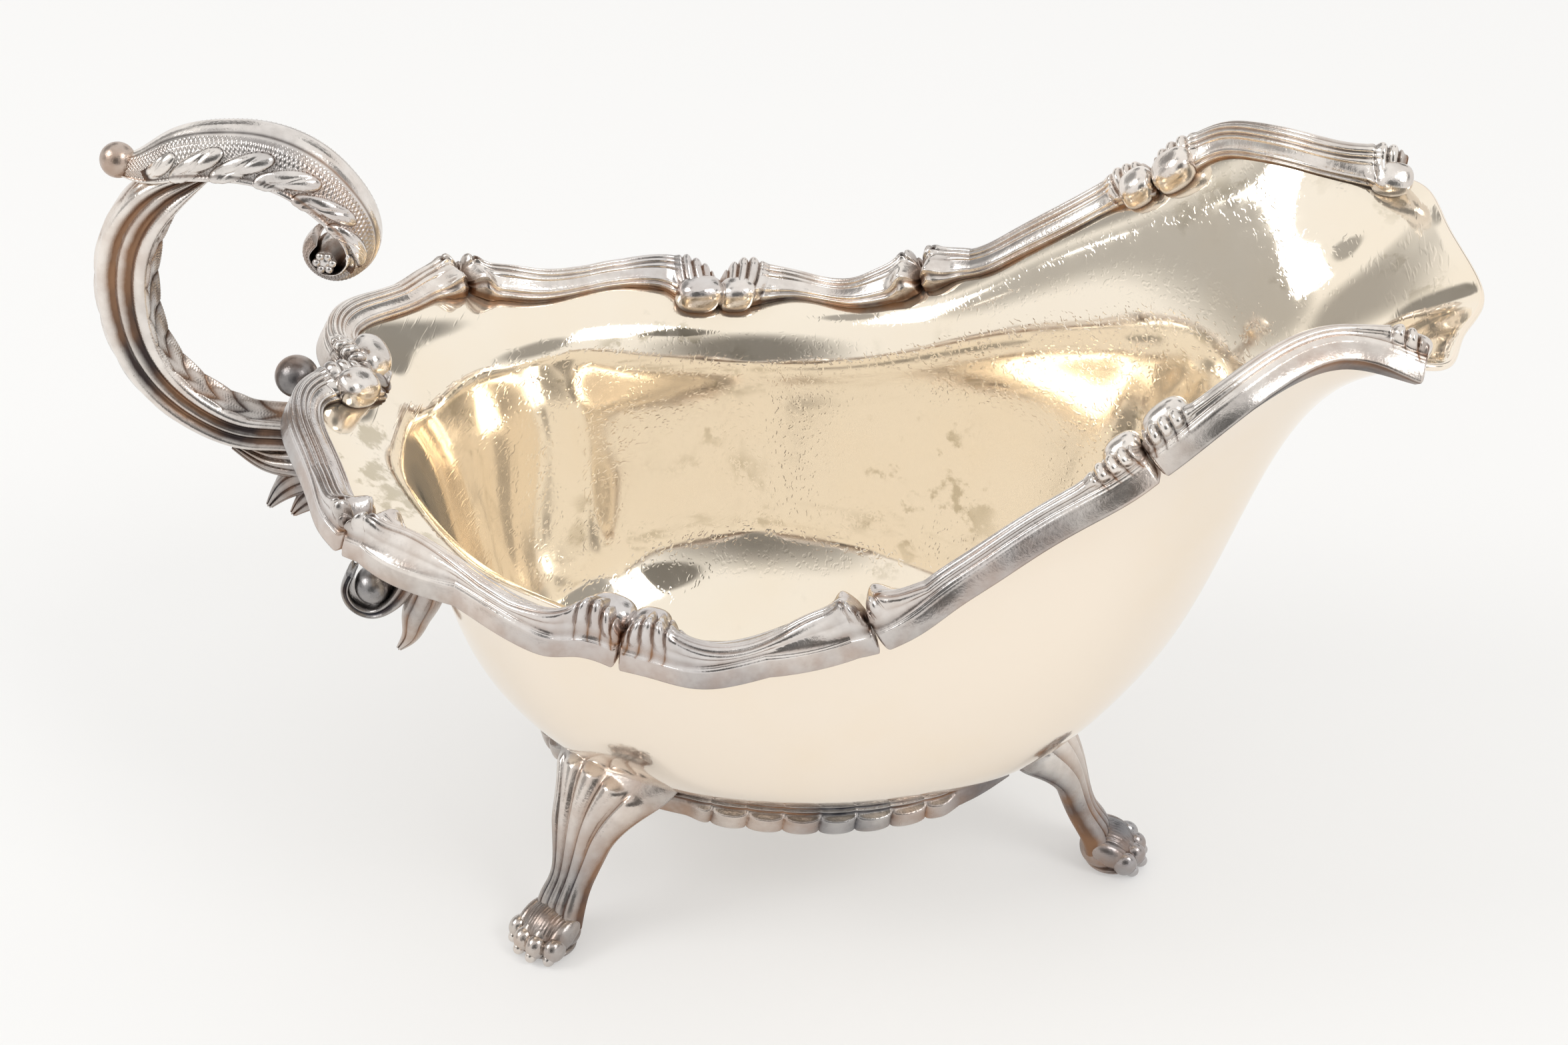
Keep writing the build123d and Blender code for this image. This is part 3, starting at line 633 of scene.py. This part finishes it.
soup.grid(ellipsoid((-74.6, 0, 121.6), np.diag([2.7, 5.0, 2.7]), 40, 28), close_u=True, tarnish_and_shade=0.12,
          flip=True)
for a in np.arange(6) * math.pi / 3:
    for sy in (1, -1):
        petal = (-74.6 + 1.35 * math.cos(a), sy * 4.5, 121.6 + 1.35 * math.sin(a))
        soup.grid(ellipsoid(petal, np.diag([0.75, 0.7, 0.75]), 14, 10), close_u=True, tarnish_and_shade=0.2, flip=True)
leaf = soup.build("handle_acanthus_leaf", cast)
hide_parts("handle_leaf")

# bracket against the rear wall
c, s, nn2 = planar([(-84.5, 96.2), (-80, 94.4), (-74, 89.2), (-67.2, 81.8), (-63.3, 72), (-63.0, 62.5),
                    (-65.2, 56), (-69.4, 50), (-73.0, 48.2), (-76.4, 49.8), (-77.3, 53), (-76.2, 56)], 420)
t = s / s[-1]
w = varying(t, [0, 0.1, 0.35, 0.6, 0.8, 1], [2.0, 2.6, 3.1, 3.1, 3.0, 2.4])
d = varying(t, [0, 0.1, 0.35, 0.6, 0.8, 1], [1.8, 2.2, 2.5, 2.3, 1.3, 0.8])
q = np.linspace(0, 1, 40)
prof = natural([0, 0.2, 0.35, 0.5, 0.65, 0.8, 1], [(0, -0.9), (0.8, -0.9), (1.05, -0.5), (0.88, 0),
                                                   (1.05, 0.5), (0.8, 0.95), (0, 1.05)], q)
Y, Nn = prof[:, 0] * w[:, None], prof[:, 1] * d[:, None]
tarnish_and_shade_map = np.clip(0.4 + 0.5 * gauss(q[None] - 0.5, 0.08), 0, 1) * np.ones((len(t), 1))
soup = Soup()
soup.grid(sweep_xz(c, nn2, mirrored_section(Y, Nn)), close_v=True,
          tarnish_and_shade=np.concatenate([tarnish_and_shade_map, tarnish_and_shade_map[:, -2:0:-1]], 1), caps=(True, True))
soup.grid(ellipsoid((-82.8, 0, 96.2), np.diag([3.8, 3.8, 3.7]), 48, 32), close_u=True, tarnish_and_shade=0.62,
          flip=True)
soup.grid(ellipsoid((-72.4, 0, 53.2), np.diag([3.5, 4.2, 3.5]), 60, 40), close_u=True, tarnish_and_shade=0.5, flip=True)
bracket = soup.build("handle_bracket_scroll", cast_shaded)
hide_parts("handle_bracket")


def frond(soup, points, widths, depths, n, lobes, depth_lobes, tarnish_and_shade, tips=0.0, shift=0.0):
    """Adds one fluted leaf, its flutes running along it; shift turns it out to one side."""
    c, s, nn2 = planar(points, n)
    t = s / s[-1]
    xs = np.linspace(0, 1, len(widths))
    w, d = varying(t, xs, widths), varying(t, xs, depths)
    q = np.linspace(0, 1, 72)
    ang = math.pi * (q - 0.5)
    flute = lobe((q[None] + tips * t[:, None] ** 2) * lobes)
    k = depth_lobes * (flute - 0.5)
    Y = np.cos(ang) * (w[:, None] + k)
    Nn = np.sin(ang) * (d[:, None] + k * 0.6)
    tarnish_and_shade_map = np.clip(tarnish_and_shade + 0.6 * (1 - flute), 0, 1)
    P = sweep_xz(c, nn2, mirrored_section(Y, Nn))
    P[..., 1] += shift * t[:, None] ** 1.5
    soup.grid(P, close_v=True, tarnish_and_shade=np.concatenate([tarnish_and_shade_map, tarnish_and_shade_map[:, -2:0:-1]], 1), caps=(True, True))


calyx, drop = Soup(), Soup()
frond(calyx, [(-62.6, 76.2), (-73, 78.4), (-82, 79.8), (-89, 79.2), (-95.5, 81.4)],
      [3.0, 4.2, 4.4, 3.2, 0.6], [4.0, 5.0, 4.2, 2.6, 0.5], 260, 6, 1.1, 0.45, tips=0.3)
for sgn in (1, -1):
    frond(calyx, [(-74, 78.6), (-81, 77), (-86, 74.4), (-89.4, 70.6)], [2.0, 2.8, 2.2, 0.5],
          [2.2, 3.2, 2.4, 0.5], 160, 4, 0.8, 0.45, shift=2.4 * sgn)
    frond(calyx, [(-68, 77), (-75, 75.4), (-81, 73), (-85.4, 68.8)], [2.2, 3.2, 2.8, 0.5],
          [2.2, 3.4, 2.8, 0.5], 160, 4, 0.8, 0.5, shift=1.8 * sgn)
frond(calyx, [(-62.4, 73), (-69, 72.4), (-74.5, 71.6), (-79.5, 72.8)], [2.2, 3.2, 3.0, 0.6],
      [1.8, 2.6, 2.4, 0.6], 160, 4, 0.8, 0.5)
frond(drop, [(-62.6, 60), (-62.2, 54), (-64.8, 47.5), (-66.2, 43), (-68.8, 39.2)],
      [1.8, 3.3, 3.5, 2.3, 0.4], [1.8, 3.0, 3.0, 1.9, 0.4], 220, 3, 0.7, 0.35)
for soup, name, node in ((calyx, "calyx_leaves", "handle_calyx"), (drop, "drop_leaf", "leaf_drop")):
    ob = soup.build(name, cast_shaded)
    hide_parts(node)


# ---------------------------------------------------------------- legs and paws
low_grid = out_pts[::3, 1:34:2].reshape(-1, 3)
low_in = nrm[::3, 1:34:2].reshape(-1, 3)


def hug(P, sink=0.45):
    """Pushes points that would reach through the bowl sheet back to just inside its underside."""
    flat = P.reshape(-1, 3).copy()
    for a in range(0, len(flat), 4000):
        p = flat[a:a + 4000]
        near = np.argmin(((p[:, None] - low_grid[None]) ** 2).sum(-1), 1)
        depth = ((p - low_grid[near]) * low_in[near]).sum(1)
        flat[a:a + 4000] = p - low_in[near] * np.maximum(depth - sink, 0)[:, None]
    return flat.reshape(P.shape)


def leg_piece(foot, heading):
    """Fluted cabriole leg that fans out at its top, on a paw with four toes; heading in degrees from +X."""
    # rows: inward from the foot, height, half width, half thickness, slope in degrees; top to ankle
    h = math.radians(heading)
    out, side = np.array([math.cos(h), math.sin(h), 0]), np.array([-math.sin(h), math.cos(h), 0])
    st = np.array([(19.5, 38.5, 16, 1.5, 40), (16.3, 35, 15.6, 2.2, 42), (12.6, 30, 13.2, 2.9, 50),
                   (9.8, 24.2, 8.5, 3.1, 60), (7.8, 17.6, 5.8, 3.0, 70), (5.8, 11.8, 4.3, 2.9, 64),
                   (3.6, 8.0, 4.7, 3.1, 66), (2.4, 4.6, 4.9, 3.2, 70)], float)
    n = 220
    t = np.linspace(0, 1, n)
    f = natural(np.linspace(0, 1, len(st)), st, t)
    back, height, wid, thk, lean = f.T
    lean = np.radians(lean)
    down = out * np.cos(lean)[:, None] + np.array([0, 0, -1]) * np.sin(lean)[:, None]
    face = np.cross(side, down)
    face = np.where((face @ out)[:, None] < 0, -face, face)
    centre = np.array(foot) - out * back[:, None] + np.array([0, 0, 1]) * height[:, None]
    m = 150
    q = np.linspace(0, 2 * math.pi, m, endpoint=False)
    X, Z = np.cos(q), np.sin(q)
    front = Z > 0
    pos = (X + 1) / 2
    five = lobe(np.clip(pos, 0.001, 0.999) * 5)
    height_over = centre[:, 2] - FLOOR
    head = smooth01((32.4 - 3.5 * np.abs(X) ** 2 - height_over[:, None]) / 2.2)
    amp = 0.5 + 1.3 * smooth01((height_over[:, None] - 9) / 16)
    ZZ = np.where(front, np.abs(Z) ** 0.7, -np.abs(Z) ** 0.6 * 0.75)
    off = np.where(front, ((five - 0.7) * amp * head - 0.9 * (1 - head)), 0) * np.abs(Z) ** 0.3
    wrap = 3.6 * np.abs(X) ** 2.5 * smooth01((height_over[:, None] - 20) / 9)
    P = centre[:, None] + side * (X * wid[:, None])[..., None]
    P = P + face[:, None] * (ZZ * thk[:, None] + off)[..., None] - out * wrap[..., None]
    # painted shade: the back of the leg, facing in under the bowl, the part below the fan and the part near
    # the foot are darker; the grooves between the flutes carry patina
    low = 1 - smooth01((height_over[:, None] - 8) / 20)
    tarnish_and_shade_map = np.where(front, 0.12 + 0.8 * (1 - five) ** 1.5 * head + 0.3 * (1 - head), 0.6) + 0.35 * low
    soup = Soup()
    soup.grid(hug(P), close_v=True, tarnish_and_shade=np.clip(tarnish_and_shade_map, 0, 1), caps=(False, True))
    # the top is closed across its thickness
    soup.f += [[1, 0, m - 1], [m // 2, m // 2 - 1, m // 2 + 1]]
    soup.f += [[i + 1, i, m - i, m - i - 1] for i in range(1, m // 2 - 1)]

    def blob(a, b, z, ra, rb, rz, tarnish_and_shade, nu=40, nv=26, lean=0.0, fur=0.0):
        ax = [out * ra * math.cos(lean) - np.array([0, 0, ra * math.sin(lean)]), side * rb,
              np.array([0, 0, rz * math.cos(lean)]) + out * rz * math.sin(lean)]
        E3 = ellipsoid(np.zeros(3), ax, nu, nv)
        if fur:
            hair = lobe((E3 @ side) / 0.62 + 0.06 * (E3 @ out)) - 0.5
            E3 = E3 * (1 + fur * hair * smooth01((E3[..., 2] + 1) / 2))[..., None]
        middle = np.array(foot) + out * a + side * b + np.array([0, 0, z])
        soup.grid(middle + E3, close_u=True, tarnish_and_shade=tarnish_and_shade, flip=True)
    blob(-0.8, 0, 3.3, 4.6, 5.4, 3.4, 0.62, 120, 50, fur=0.03)
    blob(0.6, 0, 4.9, 4.4, 4.6, 3.0, 0.6, 140, 60, lean=0.5, fur=0.06)
    for b, r, reach in ((-4.35, 1.75, 1.9), (-1.5, 1.85, 3.4), (1.5, 1.85, 3.4), (4.35, 1.75, 1.9)):
        blob(reach - 1.5, b * 0.92, 4.2, 4.3, r, 2.5, 0.5, lean=0.5)
        blob(reach + 1.1, b * 1.04, 3.0, 2.3, r * 1.04, 2.4, 0.3, lean=0.35)
        blob(reach + 2.5, b * 1.06, 1.6, 1.3, r * 0.55, 1.3, 0.05, lean=0.3)
    blob(0.6, 0, 1.1, 5.0, 5.4, 1.1, 0.6, 60, 20)
    for v in soup.v:
        v[:, 2] = np.maximum(v[:, 2], FLOOR + 0.02)
    return soup


front_leg = leg_piece((62.5, 0, FLOOR), 0)
rear_leg = leg_piece((-36, 34.8, FLOOR), 128)
for soup, name, node in ((front_leg, "paw_leg_front", "leg_front"),
                         (rear_leg, "paw_leg_rear_left", "leg_rear_left"),
                         (rear_leg.mirrored(), "paw_leg_rear_right", "leg_rear_right")):
    ob = soup.build(name, cast_shaded)
    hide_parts(node)


# ---------------------------------------------------------------- apron strips
def apron_piece(points, n, pitch, ends):
    """Strip under the bowl with two ridges and a row of gadroon lobes that fades out at its ends."""
    c = curve(points, n)
    s = np.r_[0, np.cumsum(np.linalg.norm(np.diff(c, axis=0), axis=1))]
    t = norm(np.gradient(c, axis=0))
    up = np.array([0, 0, 1.0]) - t * t[:, 2:]
    up = norm(up)
    outw = np.cross(t, up)
    outw = np.where(((c * [1, 1, 0]) * outw).sum(1)[:, None] < 0, -outw, outw)
    q = np.linspace(0, 1, 60)
    S, Q = s[:, None], q[None, :]
    slant = S / pitch + 0.12 * (Q - 1)
    lob = lobe(slant)
    taper = (smooth01((s - ends[0]) / 5) * smooth01((s[-1] - ends[1] - s) / 5))[:, None]
    low = -2.2 - 1.1 * lobe(S / pitch) ** 0.8 * taper - 0.2
    base_h = 3.2 + (low - 3.2) * Q
    ridge = 0.45 * gauss(Q - 0.08, 0.045) + 0.4 * gauss(Q - 0.25, 0.04)
    gadroon = (0.25 + 1.0 * lob * taper) * smooth01((Q - 0.36) / 0.16)
    gadroon = gadroon * np.sqrt(np.clip(1.02 - Q, 0, 1) / 0.5).clip(0, 1)
    bulge = 0.45 + ridge + gadroon
    A = np.concatenate([bulge, np.full((n, 3), -0.9)], 1)
    H = np.concatenate([base_h, low + 0.4, low * 0.3, np.full((n, 1), 2.6)], 1)
    P = c[:, None] + outw[:, None] * A[..., None] + up[:, None] * H[..., None]
    tarnish_and_shade_map = 0.3 + 0.6 * (1 - lob) * smooth01((Q - 0.4) / 0.2) * taper
    tarnish_and_shade_map = np.clip(tarnish_and_shade_map + 0.6 * gauss(Q - 0.165, 0.035) + 0.6 * gauss(Q - 0.35, 0.04) + 0.3 * (1 - taper), 0, 1)
    tarnish_and_shade_map = np.concatenate([tarnish_and_shade_map, np.full((n, 3), 0.8)], 1)
    soup = Soup()
    soup.grid(hug(P), close_v=True, tarnish_and_shade=tarnish_and_shade_map, caps=(True, True))
    return soup


left = apron_piece([(-26, 24.5, 31.5), (-17.5, 26.6, 30.8), (-8, 27.9, 30.2), (1.4, 28, 29.6),
                    (10, 27.4, 29.3), (20, 25, 29), (30, 21, 29.2), (37, 17.4, 30.3), (43, 12.5, 32)],
                    520, 6.3, (14, 9))
rear = apron_piece([(-33.5, 17.5, 30.2), (-39.4, 9.5, 30), (-41.2, 0, 29.9), (-39.4, -9.5, 30),
                    (-33.5, -17.5, 30.2)], 260, 5.2, (2, 2))
for soup, name, node in ((left, "gadroon_left", "apron_left"),
                         (left.mirrored(), "gadroon_right", "apron_right"),
                         (rear, "gadroon_rear", "apron_rear")):
    ob = soup.build(name, cast_shaded)
    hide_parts(node)


# ---------------------------------------------------------------- stage, light, camera
def emission_world():
    """White sweep all round with a few dark patches of the room, placed by direction."""
    w = bpy.data.worlds.new("studio")
    scene.world = w
    w.use_nodes = True
    N, L = w.node_tree.nodes, w.node_tree.links
    bg = N["Background"]
    co = N.new("ShaderNodeTexCoord").outputs["Generated"]
    level = None
    for direction, inner, outer, depth in DARK:
        d = Vector(direction).normalized()
        dot = N.new("ShaderNodeVectorMath")
        dot.operation = "DOT_PRODUCT"
        dot.inputs[1].default_value = d
        L.new(co, dot.inputs[0])
        r = N.new("ShaderNodeMapRange")
        r.interpolation_type = "SMOOTHSTEP"
        r.inputs[1].default_value = math.cos(math.radians(outer))
        r.inputs[2].default_value = math.cos(math.radians(inner))
        r.inputs[3].default_value, r.inputs[4].default_value = 1.0, depth
        L.new(dot.outputs["Value"], r.inputs[0])
        if level is None:
            level = r.outputs[0]
        else:
            m = N.new("ShaderNodeMath")
            m.operation = "MULTIPLY"
            L.new(level, m.inputs[0])
            L.new(r.outputs[0], m.inputs[1])
            level = m.outputs[0]
    mul = N.new("ShaderNodeVectorMath")
    mul.operation = "SCALE"
    mul.inputs[0].default_value = ROOM_COLOUR
    L.new(level, mul.inputs["Scale"])
    L.new(mul.outputs[0], bg.inputs[0])
    bg.inputs[1].default_value = 1.0


# direction, full and fading radius in degrees, brightness left in the middle
DARK = [((0.85, -0.12, 0.5), 7, 15, 0.3), ((-0.75, 0.43, 0.48), 10, 24, 0.35),
        ((0.42, 0.75, 0.52), 8, 12, 0.2), ((-0.36, 0.78, 0.5), 8, 12, 0.2),
        ((0.1, -0.93, 0.3), 12, 34, 0.15), ((-0.95, -0.2, 0.3), 8, 22, 0.45),
        ((0.45, -0.58, 0.68), 7, 9.5, 0.12), ((-0.45, -0.15, 0.88), 6, 10, 0.35)]
emission_world()
floor_mat = bpy.data.materials.new("floor")
floor_mat.use_nodes = True
fb = floor_mat.node_tree.nodes["Principled BSDF"]
fb.inputs["Base Color"].default_value = FLOOR_COLOUR
fb.inputs["Emission Color"].default_value = FLOOR_GLOW          # lifts the shadows of the pale floor
fb.inputs["Emission Strength"].default_value = FLOOR_GLOW_STRENGTH
fb.inputs["Roughness"].default_value = 0.8
bpy.ops.mesh.primitive_plane_add(size=FLOOR_SIZE, location=(0, 0, 0))
floor = bpy.context.object
floor.name = "floor"
floor.data.materials.append(floor_mat)


def area(name, loc, side):
    """Square lamp aimed at the boat."""
    d = bpy.data.lights.new(name, "AREA")
    d.shape, d.size, d.size_y, d.energy = "RECTANGLE", side, side, LAMP_POWER
    o = bpy.data.objects.new(name, d)
    o.location = loc
    o.rotation_mode = "QUATERNION"
    o.rotation_quaternion = (Vector(LAMP_AIM) - Vector(loc)).to_track_quat("-Z", "Y")
    scene.collection.objects.link(o)


area("window_left", (-0.9, -0.3, 0.9), 0.5)
area("window_right", (0.8, -0.5, 1.0), 0.45)

cam_d = bpy.data.cameras.new("camera")
cam = bpy.data.objects.new("camera", cam_d)
scene.collection.objects.link(cam)
az, el = math.radians(CAMERA_AZIMUTH), math.radians(CAMERA_ELEVATION)
cam.location = CAMERA_PLACE
look = Vector((-math.sin(az) * math.cos(el), math.cos(az) * math.cos(el), -math.sin(el)))
cam.rotation_mode = "QUATERNION"
cam.rotation_quaternion = look.to_track_quat("-Z", "Y")
cam_d.lens, cam_d.sensor_width = CAMERA_LENS, CAMERA_SENSOR
cam_d.clip_start, cam_d.clip_end = 0.01, 50
scene.camera = cam
scene.view_settings.view_transform = "Standard"
